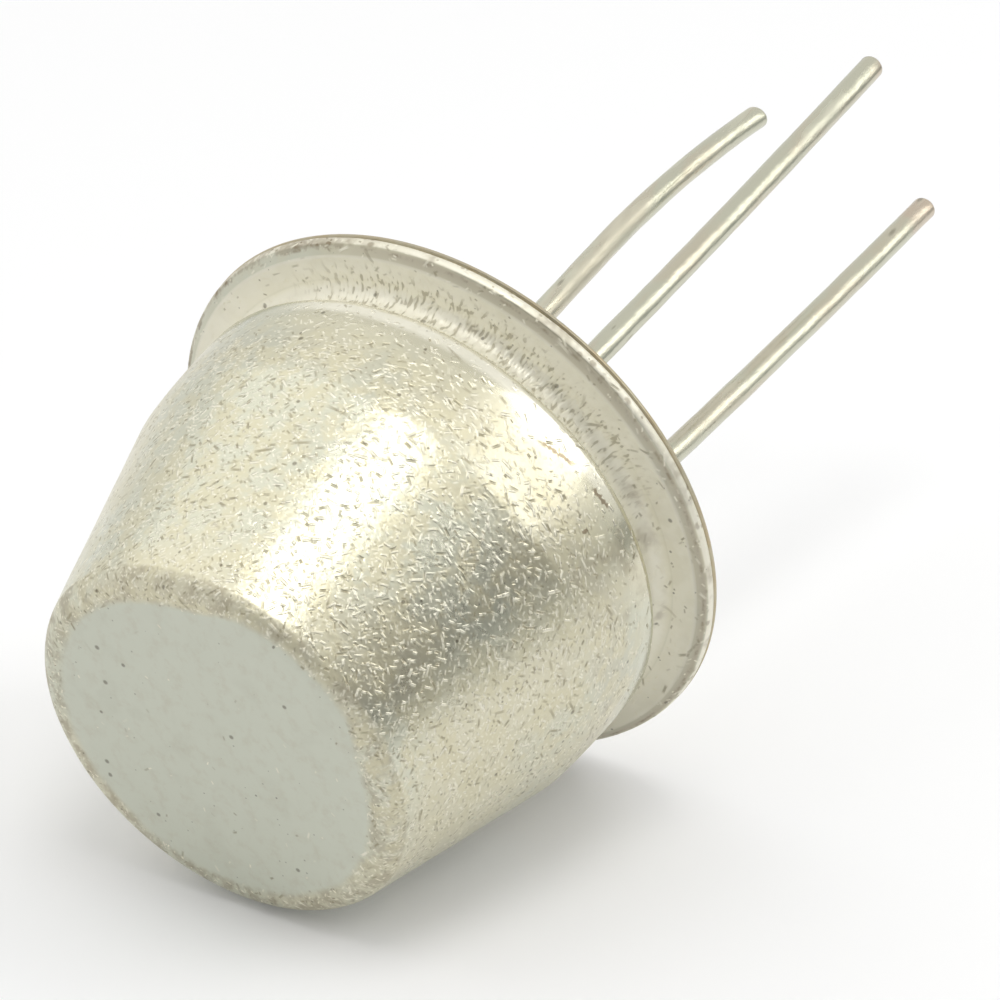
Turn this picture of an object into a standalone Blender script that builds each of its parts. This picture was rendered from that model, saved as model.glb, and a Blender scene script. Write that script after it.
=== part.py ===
# Germanium transistor in a hat-shaped metal can with three wire leads.
# Every piece is modelled round the can's own axis: +Z runs from the leads to
# the flat end of the cap, with z = 0 on the underside of the header. A parent
# empty then lays the whole device on its side, the way it comes to rest.

import math

import bmesh
import bpy
from mathutils import Vector

MM = 0.001

# Turned pieces
SIDES = 64
SHEET = 0.35 * MM
SEAT_GAP = 0.02 * MM

# Rim, where the cap is welded to the header; it stands out from the shoulder
SHOULDER_RADIUS = 7.30 * MM
RIM_STANDOUT = 0.95 * MM
RIM_RADIUS = SHOULDER_RADIUS + RIM_STANDOUT
RIM_LOW = 0.16 * MM
RIM_SEAM = 0.33 * MM
RIM_HIGH = 0.50 * MM
RIM_BAND = 0.37 * MM
RIDGE_RADIUS = RIM_RADIUS - RIM_BAND
BAND_HEIGHT = 0.75 * MM

# Neck and shoulder of the cap
NECK_TURN = math.radians(50.0)
NECK_FILLET = 0.40 * MM
NECK_BULGE = 1.20 * MM
SHOULDER_HEIGHT = 4.36 * MM
SHOULDER_BLEND = 2.50 * MM

# Cone and flat end of the cap
CONE_ANGLE = math.radians(15.0)
CAP_HEIGHT = 11.50 * MM
EDGE_ROUND = 0.70 * MM

# Header, with a platform that stands inside the neck
PLATFORM_INSET = 1.50 * MM
PLATFORM_RADIUS = SHOULDER_RADIUS - PLATFORM_INSET
PLATFORM_HEIGHT = 1.20 * MM
HEADER_THICKNESS = BAND_HEIGHT - SHEET - SEAT_GAP
UNDERSIDE_BEVEL = 0.45 * MM
UNDERSIDE_RADIUS = RIM_RADIUS - UNDERSIDE_BEVEL
HOLE_OVERRUN = 1.40 * MM

# Leads on a circle that lies beside the can's axis
LEAD_RADIUS = 0.37 * MM
LEAD_CIRCLE = 2.80 * MM
LEAD_CENTRE = Vector((0.0, -0.97 * MM))
LEAD_TOP = 2.70 * MM
LEAD_STRAIGHT = 0.60 * MM
BEAD_RADIUS = 0.95 * MM
BEAD_BELOW = 0.06 * MM
BEAD_ABOVE = 0.12 * MM
BRAZE_RADIUS = 0.80 * MM
BRAZE_HEIGHT = 0.32 * MM

# Each lead: angle on the circle, length below the header, how far it leans for
# each mm of run, and how far its tip bows sideways when it starts at bow_from
LEADS = {
    "base_lead": {
        "angle": 90.0, "length": 19.3 * MM,
        "lean": (0.002, -0.003), "bow": (-0.43 * MM, -0.55 * MM), "bow_from": 10.4 * MM,
    },
    "emitter_lead": {
        "angle": -30.0, "length": 19.6 * MM,
        "lean": (-0.038, -0.0165), "bow": (0.40 * MM, 0.0), "bow_from": 0.0,
    },
    "collector_lead": {
        "angle": 210.0, "length": 20.7 * MM,
        "lean": (-0.077, -0.051), "bow": (0.53 * MM, 0.0), "bow_from": 0.0,
    },
}

# Crystal on its holder, in the middle of the lead circle
HOLDER_RADIUS = 1.45 * MM
HOLDER_HEIGHT = 0.70 * MM
COLLECTOR_PELLET = (0.62 * MM, 0.20 * MM)
WAFER = (1.10 * MM, 0.14 * MM)
EMITTER_PELLET = (0.42 * MM, 0.20 * MM)
RING_OUTER = 1.00 * MM
RING_INNER = 0.62 * MM
RING_HEIGHT = 0.10 * MM
STRAP_RADIUS = 0.11 * MM


def clear_scene():
    for old in list(bpy.data.objects):
        bpy.data.objects.remove(old, do_unlink=True)


def make_collection(name):
    group = bpy.data.collections.new(name)
    bpy.context.scene.collection.children.link(group)
    return group


def make_material(name, colour, roughness, metallic):
    material = bpy.data.materials.new(name)
    material.use_nodes = True
    shader = material.node_tree.nodes["Principled BSDF"]
    shader.inputs["Base Color"].default_value = (*colour, 1.0)
    shader.inputs["Roughness"].default_value = roughness
    shader.inputs["Metallic"].default_value = metallic
    return material


def add_object(name, data, group, material=None, parent=None):
    thing = bpy.data.objects.new(name, data)
    group.objects.link(thing)
    if material is not None:
        data.materials.append(material)
    if parent is not None:
        thing.parent = parent
    return thing


def turned(name, points, group, material=None, parent=None, closed=False, sides=SIDES):
    """A profile of (radius, height) points turned round its own Z axis."""
    mesh = bpy.data.meshes.new(name)
    shape = bmesh.new()
    corners = [shape.verts.new((radius, 0.0, height)) for radius, height in points]
    for first, second in zip(corners, corners[1:]):
        shape.edges.new((first, second))
    if closed:
        shape.edges.new((corners[-1], corners[0]))
    shape.to_mesh(mesh)
    shape.free()
    piece = add_object(name, mesh, group, material, parent)
    screw = piece.modifiers.new("turn", "SCREW")
    screw.axis = "Z"
    screw.angle = math.tau
    screw.steps = sides
    screw.render_steps = sides
    screw.use_merge_vertices = True
    screw.merge_threshold = 0.000002
    screw.use_smooth_shade = True
    return piece


def arc(centre, radius, start, end, steps):
    """Points on an arc, angles in radians measured up from the outward direction."""
    points = []
    for step in range(steps + 1):
        angle = start + (end - start) * step / steps
        points.append((centre[0] + radius * math.cos(angle), centre[1] + radius * math.sin(angle)))
    return points


def wall_profile(inset, fine):
    """The cap's wall from the flat end down to the flange, inset by a part of the sheet."""
    slope = math.tan(CONE_ANGLE)
    end_radius = SHOULDER_RADIUS - (CAP_HEIGHT - SHOULDER_HEIGHT) * slope
    flat_radius = end_radius - EDGE_ROUND * math.tan((math.pi / 2 - CONE_ANGLE) / 2)
    edge_centre = (flat_radius, CAP_HEIGHT - EDGE_ROUND)

    blend_centre = (
        SHOULDER_RADIUS - SHOULDER_BLEND,
        SHOULDER_HEIGHT - SHOULDER_BLEND * math.tan(CONE_ANGLE / 2),
    )
    fillet_centre_z = BAND_HEIGHT + NECK_FILLET
    bulge_centre = (
        SHOULDER_RADIUS - NECK_BULGE,
        fillet_centre_z + (NECK_FILLET + NECK_BULGE) * math.sin(NECK_TURN),
    )
    fillet_centre = (
        bulge_centre[0] + (NECK_FILLET + NECK_BULGE) * math.cos(NECK_TURN),
        fillet_centre_z,
    )

    points = [(0.0, CAP_HEIGHT - inset)]
    points += arc(edge_centre, EDGE_ROUND - inset, math.pi / 2, CONE_ANGLE, fine)
    points += arc(blend_centre, SHOULDER_BLEND - inset, CONE_ANGLE, 0.0, 3)
    points += arc(bulge_centre, NECK_BULGE - inset, 0.0, -NECK_TURN, fine)
    fillet = arc(fillet_centre, NECK_FILLET + inset, math.pi - NECK_TURN, 1.5 * math.pi, fine)
    return points + fillet[1:]


def make_cap(group, material, parent):
    outer = wall_profile(0.0, 5)
    rim = [
        (RIDGE_RADIUS, BAND_HEIGHT),
        (RIM_RADIUS, RIM_HIGH),
        (RIM_RADIUS, RIM_SEAM + SEAT_GAP / 2),
        (RIDGE_RADIUS, BAND_HEIGHT - SHEET),
    ]
    inner = wall_profile(SHEET, 3)
    cap = turned("cap", outer + rim + inner[::-1], group, material, parent)
    cap.rotation_euler = (0.0, 0.0, math.pi / SIDES)
    return cap


def make_header(group, cutters, material, parent):
    profile = [
        (0.0, PLATFORM_HEIGHT),
        (PLATFORM_RADIUS - 0.2 * MM, PLATFORM_HEIGHT),
        (PLATFORM_RADIUS, PLATFORM_HEIGHT - 0.2 * MM),
        (PLATFORM_RADIUS + 0.05 * MM, HEADER_THICKNESS + 0.2 * MM),
        (PLATFORM_RADIUS + 0.25 * MM, HEADER_THICKNESS),
        (RIDGE_RADIUS - 0.02 * MM, HEADER_THICKNESS),
        (RIM_RADIUS, RIM_SEAM - SEAT_GAP / 2),
        (RIM_RADIUS, RIM_LOW),
        (UNDERSIDE_RADIUS, 0.0),
        (0.0, 0.0),
    ]
    header = turned("header", profile, group, material, parent)
    header.rotation_euler = (0.0, 0.0, math.pi / SIDES)

    holes = {
        "base_lead": BEAD_RADIUS,
        "emitter_lead": BEAD_RADIUS,
        "collector_lead": LEAD_RADIUS + 0.03 * MM,
    }
    for lead, radius in holes.items():
        x, y = lead_foot(lead)
        bpy.ops.mesh.primitive_cylinder_add(
            vertices=32, radius=radius, depth=PLATFORM_HEIGHT + 2 * HOLE_OVERRUN,
            location=(x, y, PLATFORM_HEIGHT / 2),
        )
        cutter = bpy.context.object
        cutter.name = lead + "_hole"
        for owner in list(cutter.users_collection):
            owner.objects.unlink(cutter)
        cutters.objects.link(cutter)
        cutter.parent = parent
        cutter.hide_render = True
        cutter.display_type = "WIRE"
        cut = header.modifiers.new(cutter.name, "BOOLEAN")
        cut.operation = "DIFFERENCE"
        cut.solver = "EXACT"
        cut.object = cutter
    return header


def lead_foot(name):
    angle = math.radians(LEADS[name]["angle"])
    return (
        LEAD_CENTRE.x + LEAD_CIRCLE * math.cos(angle),
        LEAD_CENTRE.y + LEAD_CIRCLE * math.sin(angle),
    )


def lead_point(name, depth):
    """The lead's centre at a depth below the header, straight until it has left it."""
    lead = LEADS[name]
    x, y = lead_foot(name)
    run = max(0.0, depth - LEAD_STRAIGHT)
    curl = max(0.0, run - lead["bow_from"])
    share = curl / (lead["length"] - LEAD_STRAIGHT - lead["bow_from"])
    x += lead["lean"][0] * run + lead["bow"][0] * share * share
    y += lead["lean"][1] * run + lead["bow"][1] * share * share
    return Vector((x, y, -depth))


def wire(name, points, radius, group, material, parent, resolution=2):
    curve = bpy.data.curves.new(name, "CURVE")
    curve.dimensions = "3D"
    curve.bevel_depth = radius
    curve.bevel_resolution = resolution
    curve.use_fill_caps = True
    spline = curve.splines.new("POLY")
    spline.points.add(len(points) - 1)
    for place, point in zip(spline.points, points):
        place.co = (*point, 1.0)
    return add_object(name, curve, group, material, parent)


def make_leads(group, material, parent):
    for name, lead in LEADS.items():
        steps = 13
        depths = [-LEAD_TOP, 0.0, LEAD_STRAIGHT]
        for step in range(1, steps + 1):
            depths.append(LEAD_STRAIGHT + (lead["length"] - LEAD_STRAIGHT) * step / steps)
        wire(name, [lead_point(name, depth) for depth in depths], LEAD_RADIUS, group, material, parent)


def make_beads(group, material, parent):
    bore = LEAD_RADIUS + SEAT_GAP
    outer = BEAD_RADIUS - SEAT_GAP
    top = PLATFORM_HEIGHT + BEAD_ABOVE
    profile = [
        (bore, top),
        (bore + 0.25 * MM, top),
        (outer, PLATFORM_HEIGHT),
        (outer, BEAD_BELOW),
        (outer - 0.15 * MM, BEAD_BELOW),
        (bore, -BEAD_BELOW),
    ]
    for name, lead in (("base_bead", "base_lead"), ("emitter_bead", "emitter_lead")):
        bead = turned(name, profile, group, material, parent, closed=True, sides=32)
        bead.location = (*lead_foot(lead), 0.0)


def make_braze(group, material, parent):
    bore = LEAD_RADIUS + SEAT_GAP
    profile = [(bore, -SEAT_GAP), (BRAZE_RADIUS, -SEAT_GAP)]
    for step in range(1, 5):
        turn = math.pi / 2 * step / 4
        profile.append((
            BRAZE_RADIUS - (BRAZE_RADIUS - bore - 0.06 * MM) * math.sin(turn),
            -SEAT_GAP - BRAZE_HEIGHT * (1.0 - math.cos(turn)),
        ))
    profile.append((bore, -SEAT_GAP - BRAZE_HEIGHT))
    ring = turned("collector_braze", profile, group, material, parent, closed=True, sides=32)
    ring.location = (*lead_foot("collector_lead"), 0.0)
    return ring


def disc(name, radius, low, high, edge, group, material, parent, sides=32):
    profile = [
        (0.0, high), (radius - edge, high), (radius, high - edge), (radius, low), (0.0, low),
    ]
    piece = turned(name, profile, group, material, parent, sides=sides)
    piece.location = (LEAD_CENTRE.x, LEAD_CENTRE.y, 0.0)
    return piece


def make_crystal(group, looks, parent):
    level = PLATFORM_HEIGHT + SEAT_GAP
    disc("crystal_holder", HOLDER_RADIUS, level, level + HOLDER_HEIGHT, 0.15 * MM,
         group, looks["copper"], parent)
    level += HOLDER_HEIGHT + SEAT_GAP
    disc("collector_pellet", COLLECTOR_PELLET[0], level, level + COLLECTOR_PELLET[1], 0.05 * MM,
         group, looks["indium"], parent)
    level += COLLECTOR_PELLET[1] + SEAT_GAP
    disc("germanium_wafer", WAFER[0], level, level + WAFER[1], 0.03 * MM,
         group, looks["germanium"], parent)
    level += WAFER[1] + SEAT_GAP
    disc("emitter_pellet", EMITTER_PELLET[0], level, level + EMITTER_PELLET[1], 0.10 * MM,
         group, looks["indium"], parent)

    ring_profile = [
        (RING_INNER, level + RING_HEIGHT), (RING_OUTER, level + RING_HEIGHT),
        (RING_OUTER, level), (RING_INNER, level),
    ]
    ring = turned("base_ring", ring_profile, group, looks["nickel"], parent, closed=True, sides=32)
    ring.location = (LEAD_CENTRE.x, LEAD_CENTRE.y, 0.0)

    reach = STRAP_RADIUS + SEAT_GAP
    middle = Vector((LEAD_CENTRE.x, LEAD_CENTRE.y, 0.0))
    make_strap("emitter_strap", "emitter_lead", middle, 0.0,
               level + EMITTER_PELLET[1] + reach, group, looks["nickel"], parent)
    make_strap("base_strap", "base_lead", middle, (RING_INNER + RING_OUTER) / 2,
               level + RING_HEIGHT + reach, group, looks["nickel"], parent)


def make_strap(name, lead, middle, start, height, group, material, parent):
    """A soft wire from the crystal to the side of a lead's inner end."""
    foot = Vector((*lead_foot(lead), 0.0))
    away = (foot - middle).normalized()
    reach = LEAD_RADIUS + STRAP_RADIUS + SEAT_GAP
    first = middle + away * start + Vector((0.0, 0.0, height))
    last = foot - away * reach
    last.z = LEAD_TOP - 0.4 * MM
    span = (last - first).length
    points = []
    steps = 8
    for step in range(steps + 1):
        part = step / steps
        point = first.lerp(last, part)
        point.z += span * 0.22 * math.sin(math.pi * part)
        points.append(point)
    return wire(name, points, STRAP_RADIUS, group, material, parent)


def resting_tilt():
    """The tilt at which the rim and the wall touch one flat surface together."""
    flat = math.cos(math.pi / SIDES)
    angles = []
    for radius, height in wall_profile(0.0, 5):
        if height > BAND_HEIGHT + NECK_FILLET:
            angles.append(math.atan2((RIM_RADIUS - radius) * flat, height - RIM_HIGH))
    return min(angles)


def set_down(rest, group):
    """Moves the parent so that the bottom centre of the whole device is the origin."""
    bpy.context.view_layer.update()
    graph = bpy.context.evaluated_depsgraph_get()
    low = Vector((1.0, 1.0, 1.0))
    high = Vector((-1.0, -1.0, -1.0))
    for thing in group.objects:
        if thing.type not in {"MESH", "CURVE"}:
            continue
        shape = thing.evaluated_get(graph)
        mesh = shape.to_mesh()
        for vertex in mesh.vertices:
            place = shape.matrix_world @ vertex.co
            low = Vector(map(min, low, place))
            high = Vector(map(max, high, place))
        shape.to_mesh_clear()
    rest.location -= Vector(((low.x + high.x) / 2, (low.y + high.y) / 2, low.z))
    bpy.context.view_layer.update()


def main():
    clear_scene()
    group = make_collection("germanium_transistor")
    cutters = make_collection("cutters")

    looks = {
        "can": make_material("plated_can", (0.50, 0.49, 0.41), 0.38, 0.9),
        "header": make_material("plated_header", (0.46, 0.45, 0.37), 0.42, 0.9),
        "glass": make_material("bead_glass", (0.03, 0.09, 0.07), 0.10, 0.0),
        "lead": make_material("tinned_lead", (0.58, 0.57, 0.48), 0.30, 1.0),
        "braze": make_material("silver_braze", (0.55, 0.53, 0.44), 0.45, 0.9),
        "copper": make_material("holder_copper", (0.52, 0.25, 0.14), 0.35, 1.0),
        "indium": make_material("indium", (0.55, 0.56, 0.58), 0.40, 1.0),
        "germanium": make_material("germanium", (0.16, 0.16, 0.17), 0.20, 0.8),
        "nickel": make_material("nickel", (0.50, 0.48, 0.43), 0.35, 1.0),
    }

    rest = bpy.data.objects.new("resting_pose", None)
    group.objects.link(rest)
    rest.rotation_euler = (math.pi, resting_tilt() - math.pi / 2, 0.0)

    make_cap(group, looks["can"], rest)
    make_header(group, cutters, looks["header"], rest)
    make_beads(group, looks["glass"], rest)
    make_leads(group, looks["lead"], rest)
    make_braze(group, looks["braze"], rest)
    make_crystal(group, looks, rest)
    set_down(rest, group)


main()
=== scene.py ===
import math

import bpy
from mathutils import Euler, Matrix, Vector


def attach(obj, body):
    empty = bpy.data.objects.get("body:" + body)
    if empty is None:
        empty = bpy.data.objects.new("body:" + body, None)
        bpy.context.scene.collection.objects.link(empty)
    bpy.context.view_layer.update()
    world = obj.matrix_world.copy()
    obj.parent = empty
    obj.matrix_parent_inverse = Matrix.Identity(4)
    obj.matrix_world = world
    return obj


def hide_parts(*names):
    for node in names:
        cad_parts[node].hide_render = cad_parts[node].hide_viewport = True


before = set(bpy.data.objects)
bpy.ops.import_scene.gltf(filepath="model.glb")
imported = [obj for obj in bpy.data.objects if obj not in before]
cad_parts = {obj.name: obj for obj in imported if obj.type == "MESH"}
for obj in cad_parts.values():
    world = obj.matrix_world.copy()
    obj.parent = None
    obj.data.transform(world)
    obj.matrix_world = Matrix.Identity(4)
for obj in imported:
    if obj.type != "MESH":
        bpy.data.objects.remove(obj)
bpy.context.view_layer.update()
print("frame loaded:", len(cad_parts), "nodes")

mm = 0.001

# How the can lies: its own axis runs from the leads (z = 0) to the flat end
rest = {"tilt": 13.9001, "place": (4.32652, 0.0, 8.11888)}  # degrees, mm
restTurn = Euler((math.pi, math.radians(rest["tilt"] - 90.0), 0.0))
restMatrix = Matrix.Translation(Vector(rest["place"]) * mm) @ restTurn.to_matrix().to_4x4()
backMatrix = restMatrix.inverted()


# Small tools

def clearSelection():
    if bpy.context.object and bpy.context.object.mode != "OBJECT":
        bpy.ops.object.mode_set(mode="OBJECT")
    bpy.ops.object.select_all(action="DESELECT")


def pullRings(name, rings, segments, startShut=True, endShut=True, ringShut=False):
    # rings are (x, y, z, radius) in mm; each one is extruded out of the one before
    clearSelection()
    x, y, z, radius = rings[0]
    bpy.ops.mesh.primitive_circle_add(
        vertices=segments, radius=radius * mm, location=(x * mm, y * mm, z * mm),
        fill_type="TRIFAN" if startShut else "NOTHING", enter_editmode=True,
    )
    piece = bpy.context.object
    piece.name = piece.data.name = name
    bpy.ops.mesh.select_mode(type="EDGE")
    bpy.ops.mesh.select_all(action="DESELECT")
    bpy.ops.mesh.select_non_manifold()
    for toX, toY, toZ, toRadius in rings[1:]:
        step = ((toX - x) * mm, (toY - y) * mm, (toZ - z) * mm)
        bpy.ops.mesh.extrude_region_move(TRANSFORM_OT_translate={"value": step})
        if abs(toRadius - radius) > 1e-9:
            ratio = toRadius / radius
            bpy.ops.transform.resize(
                value=(ratio, ratio, 1.0), center_override=(toX * mm, toY * mm, toZ * mm))
        x, y, z, radius = toX, toY, toZ, toRadius
    if endShut:
        bpy.ops.mesh.extrude_region_move()
        bpy.ops.mesh.merge(type="CENTER")
    bpy.ops.mesh.select_all(action="SELECT")
    if ringShut:
        bpy.ops.mesh.remove_doubles(threshold=0.001 * mm)
    bpy.ops.mesh.normals_make_consistent(inside=False)
    bpy.ops.object.mode_set(mode="OBJECT")
    bpy.ops.object.transform_apply(location=True, rotation=True, scale=True)
    bpy.ops.object.shade_smooth()
    return piece


def turnProfile(name, profile, segments, middle=(0.0, 0.0), **shut):
    rings = [(middle[0], middle[1], height, radius) for radius, height in profile]
    return pullRings(name, rings, segments, **shut)


def arcPoints(middle, radius, start, end, steps):
    points = []
    for step in range(steps + 1):
        angle = start + (end - start) * step / steps
        points.append((middle[0] + radius * math.cos(angle), middle[1] + radius * math.sin(angle)))
    return points


def linePoints(first, last, steps):
    # points strictly between two profile points
    return [
        (first[0] + (last[0] - first[0]) * step / steps, first[1] + (last[1] - first[1]) * step / steps)
        for step in range(1, steps)
    ]


unroll = {"radius": 7.0, "flatAside": 60.0}  # mm: arcs are taken at this radius; the flat end lies aside


def unrollMap(piece, profile, flatTo):
    # a map in mm: round the axis and along the profile, and flat on the round end
    lengths = [0.0]
    for first, second in zip(profile, profile[1:]):
        lengths.append(lengths[-1] + math.dist(first, second))
    layer = piece.data.uv_layers.new(name="turnedMap")
    aside, found = unroll["flatAside"], {}
    for vertex in piece.data.vertices:
        radius = math.hypot(vertex.co.x, vertex.co.y) / mm
        height = vertex.co.z / mm
        key = (round(radius, 2), round(height, 2))
        if key not in found:
            found[key] = min(
                range(len(profile)), key=lambda index: math.dist(profile[index], (radius, height)))
    for polygon in piece.data.polygons:
        corners = [piece.data.vertices[index].co for index in polygon.vertices]
        places = []
        for corner in corners:
            radius = math.hypot(corner.x, corner.y) / mm
            places.append(found[(round(radius, 2), round(corner.z / mm, 2))])
        angles = [math.atan2(corner.y, corner.x) for corner in corners]
        if max(angles) - min(angles) > math.pi:
            angles = [angle + math.tau if angle < 0.0 else angle for angle in angles]
        flat = max(places) <= flatTo
        for loop, corner, place, angle in zip(polygon.loop_indices, corners, places, angles):
            if flat:
                layer.data[loop].uv = (corner.x / mm + aside, corner.y / mm + aside)
            else:
                layer.data[loop].uv = (angle * unroll["radius"], lengths[place])


def ripple(piece, size, depth, inward=True):
    # slight unevenness of the real sheet or wire, made in the mesh
    cloud = bpy.data.textures.new(piece.name + "Ripple", "CLOUDS")
    cloud.noise_scale = size * mm
    cloud.noise_depth = 1
    clearSelection()
    piece.select_set(True)
    bpy.context.view_layer.objects.active = piece
    push = piece.modifiers.new("ripple", "DISPLACE")
    push.texture = cloud
    push.texture_coords = "LOCAL"
    push.strength = depth * mm
    push.mid_level = 1.0 if inward else 0.5
    bpy.ops.object.modifier_apply(modifier=push.name)


def layDown(piece):
    # puts a piece made on the can's own axis where the CAD model lies
    clearSelection()
    piece.select_set(True)
    bpy.context.view_layer.objects.active = piece
    piece.matrix_world = restMatrix
    bpy.ops.object.transform_apply(location=True, rotation=True, scale=True)


def finishPiece(piece, material, node):
    piece.data.materials.clear()
    piece.data.materials.append(material)
    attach(piece, "root")
    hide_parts(node)


# Node tools

def addNode(tree, kind, inputs=None, **settings):
    made = tree.nodes.new(kind)
    for key, value in settings.items():
        setattr(made, key, value)
    for key, value in (inputs or {}).items():
        plug(tree, value, made.inputs[key])
    return made


def plug(tree, value, socket):
    if isinstance(value, bpy.types.NodeSocket):
        tree.links.new(value, socket)
    else:
        socket.default_value = value


def calc(tree, operation, *values, clamp=False):
    made = addNode(tree, "ShaderNodeMath", operation=operation, use_clamp=clamp)
    for index, value in enumerate(values):
        plug(tree, value, made.inputs[index])
    return made.outputs[0]


def fade(tree, value, start, end, low=0.0, high=1.0):
    made = addNode(tree, "ShaderNodeMapRange", interpolation_type="SMOOTHSTEP", clamp=True)
    for name, item in (("Value", value), ("From Min", start), ("From Max", end),
                       ("To Min", low), ("To Max", high)):
        plug(tree, item, made.inputs[name])
    return made.outputs["Result"]


def between(tree, value, low, high, soft):
    rise = fade(tree, value, low - soft, low + soft)
    fall = fade(tree, value, high - soft, high + soft, 1.0, 0.0)
    return calc(tree, "MULTIPLY", rise, fall)


def along(tree, split, degrees):
    # how far a place lies in one direction round the upright axis
    turn = math.radians(degrees)
    return calc(tree, "MULTIPLY_ADD", split.outputs["X"], math.cos(turn),
                calc(tree, "MULTIPLY", split.outputs["Y"], math.sin(turn)))


def towards(tree, split, reach, degrees):
    # the same as a share of the distance from the axis, so -1 to 1
    return calc(tree, "DIVIDE", along(tree, split, degrees), calc(tree, "ADD", reach, 0.0001))


def awayFrom(tree, split):
    squares = calc(tree, "ADD", calc(tree, "MULTIPLY", split.outputs["X"], split.outputs["X"]),
                   calc(tree, "MULTIPLY", split.outputs["Y"], split.outputs["Y"]))
    return calc(tree, "SQRT", squares)


def product(tree, first, *others):
    for other in others:
        first = calc(tree, "MULTIPLY", first, other)
    return first


def noise(tree, vector, scale, detail=2.0, roughness=0.5):
    made = addNode(tree, "ShaderNodeTexNoise", {
        "Vector": vector, "Scale": scale, "Detail": detail, "Roughness": roughness})
    return made.outputs["Fac"]


def mixColour(tree, share, first, second):
    made = addNode(tree, "ShaderNodeMix", data_type="RGBA")
    plug(tree, share, made.inputs["Factor"])
    plug(tree, (*first, 1.0) if isinstance(first, tuple) else first, made.inputs["A"])
    plug(tree, (*second, 1.0) if isinstance(second, tuple) else second, made.inputs["B"])
    return made.outputs["Result"]


def newGroup(name, inputs, outputs):
    tree = bpy.data.node_groups.new(name, "ShaderNodeTree")
    for label, kind, value in inputs:
        socket = tree.interface.new_socket(name=label, in_out="INPUT", socket_type=kind)
        if value is not None:
            socket.default_value = value
    for label, kind in outputs:
        tree.interface.new_socket(name=label, in_out="OUTPUT", socket_type=kind)
    return tree, tree.nodes.new("NodeGroupInput"), tree.nodes.new("NodeGroupOutput")


def useGroup(tree, group, inputs):
    made = addNode(tree, "ShaderNodeGroup", node_tree=group)
    for key, value in inputs.items():
        plug(tree, value, made.inputs[key])
    return made.outputs


floatKind, vectorKind = "NodeSocketFloat", "NodeSocketVector"


def makeAxisGroup():
    # from the object's coordinates back to mm on the can's own axis
    tree, source, target = newGroup(
        "axisPlace", [("Vector", vectorKind, None)],
        [("Place", vectorKind), ("Radius", floatKind), ("Height", floatKind)])
    turned = addNode(tree, "ShaderNodeMapping", {
        "Vector": source.outputs["Vector"],
        "Location": backMatrix.translation / mm,
        "Rotation": backMatrix.to_euler(),
        "Scale": (1.0 / mm, 1.0 / mm, 1.0 / mm),
    }, vector_type="POINT").outputs["Vector"]
    split = addNode(tree, "ShaderNodeSeparateXYZ", {"Vector": turned})
    plug(tree, turned, target.inputs["Place"])
    plug(tree, awayFrom(tree, split), target.inputs["Radius"])
    plug(tree, split.outputs["Z"], target.inputs["Height"])
    return tree


def makeDashGroup():
    # short straight marks about one direction, one in each cell
    tree, source, target = newGroup(
        "dashMarks",
        [("Vector", vectorKind, None), ("Scale", floatKind, 4.0), ("Share", floatKind, 0.5),
         ("Length", floatKind, 0.4), ("Width", floatKind, 0.1), ("Turn", floatKind, 0.0),
         ("Spread", floatKind, 6.28)],
        [("Mask", floatKind)])
    plugs = source.outputs
    cells = addNode(tree, "ShaderNodeTexVoronoi", {
        "Vector": plugs["Vector"], "Scale": plugs["Scale"]}, voronoi_dimensions="2D", feature="F1")
    offset = addNode(tree, "ShaderNodeVectorMath", {0: plugs["Vector"], 1: cells.outputs["Position"]},
                     operation="SUBTRACT")
    dice = addNode(tree, "ShaderNodeSeparateColor", {"Color": cells.outputs["Color"]})
    turned = addNode(tree, "ShaderNodeVectorRotate", {
        "Vector": offset.outputs[0],
        "Angle": calc(tree, "MULTIPLY_ADD", dice.outputs["Red"], plugs["Spread"], plugs["Turn"])},
        rotation_type="Z_AXIS")
    split = addNode(tree, "ShaderNodeSeparateXYZ", {"Vector": turned.outputs[0]})
    reach = calc(tree, "MULTIPLY_ADD", dice.outputs["Green"], plugs["Length"], plugs["Width"])
    off = calc(tree, "MAXIMUM", calc(tree, "DIVIDE", calc(tree, "ABSOLUTE", split.outputs["X"]), reach),
               calc(tree, "DIVIDE", calc(tree, "ABSOLUTE", split.outputs["Y"]), plugs["Width"]))
    strength = calc(tree, "FRACT", calc(tree, "MULTIPLY", dice.outputs["Red"], 29.0))
    kept = calc(tree, "LESS_THAN", dice.outputs["Blue"], plugs["Share"])
    mask = fade(tree, off, 0.25, 1.0, calc(tree, "MULTIPLY", kept, strength), 0.0)
    plug(tree, mask, target.inputs["Mask"])
    return tree


def makePitGroup(name, dimensions):
    # small round pits, some of them missing
    tree, source, target = newGroup(
        name,
        [("Vector", vectorKind, None), ("Scale", floatKind, 1.0), ("Share", floatKind, 0.5),
         ("Size", floatKind, 0.1)],
        [("Mask", floatKind)])
    plugs = source.outputs
    cells = addNode(tree, "ShaderNodeTexVoronoi", {
        "Vector": plugs["Vector"], "Scale": plugs["Scale"]}, voronoi_dimensions=dimensions, feature="F1")
    dice = addNode(tree, "ShaderNodeSeparateColor", {"Color": cells.outputs["Color"]})
    size = calc(tree, "MULTIPLY", plugs["Size"], calc(tree, "ADD", dice.outputs["Green"], 0.4))
    spot = fade(tree, cells.outputs["Distance"], calc(tree, "MULTIPLY", size, 0.4), size, 1.0, 0.0)
    kept = calc(tree, "LESS_THAN", dice.outputs["Blue"], plugs["Share"])
    plug(tree, calc(tree, "MULTIPLY", spot, kept), target.inputs["Mask"])
    return tree


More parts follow.
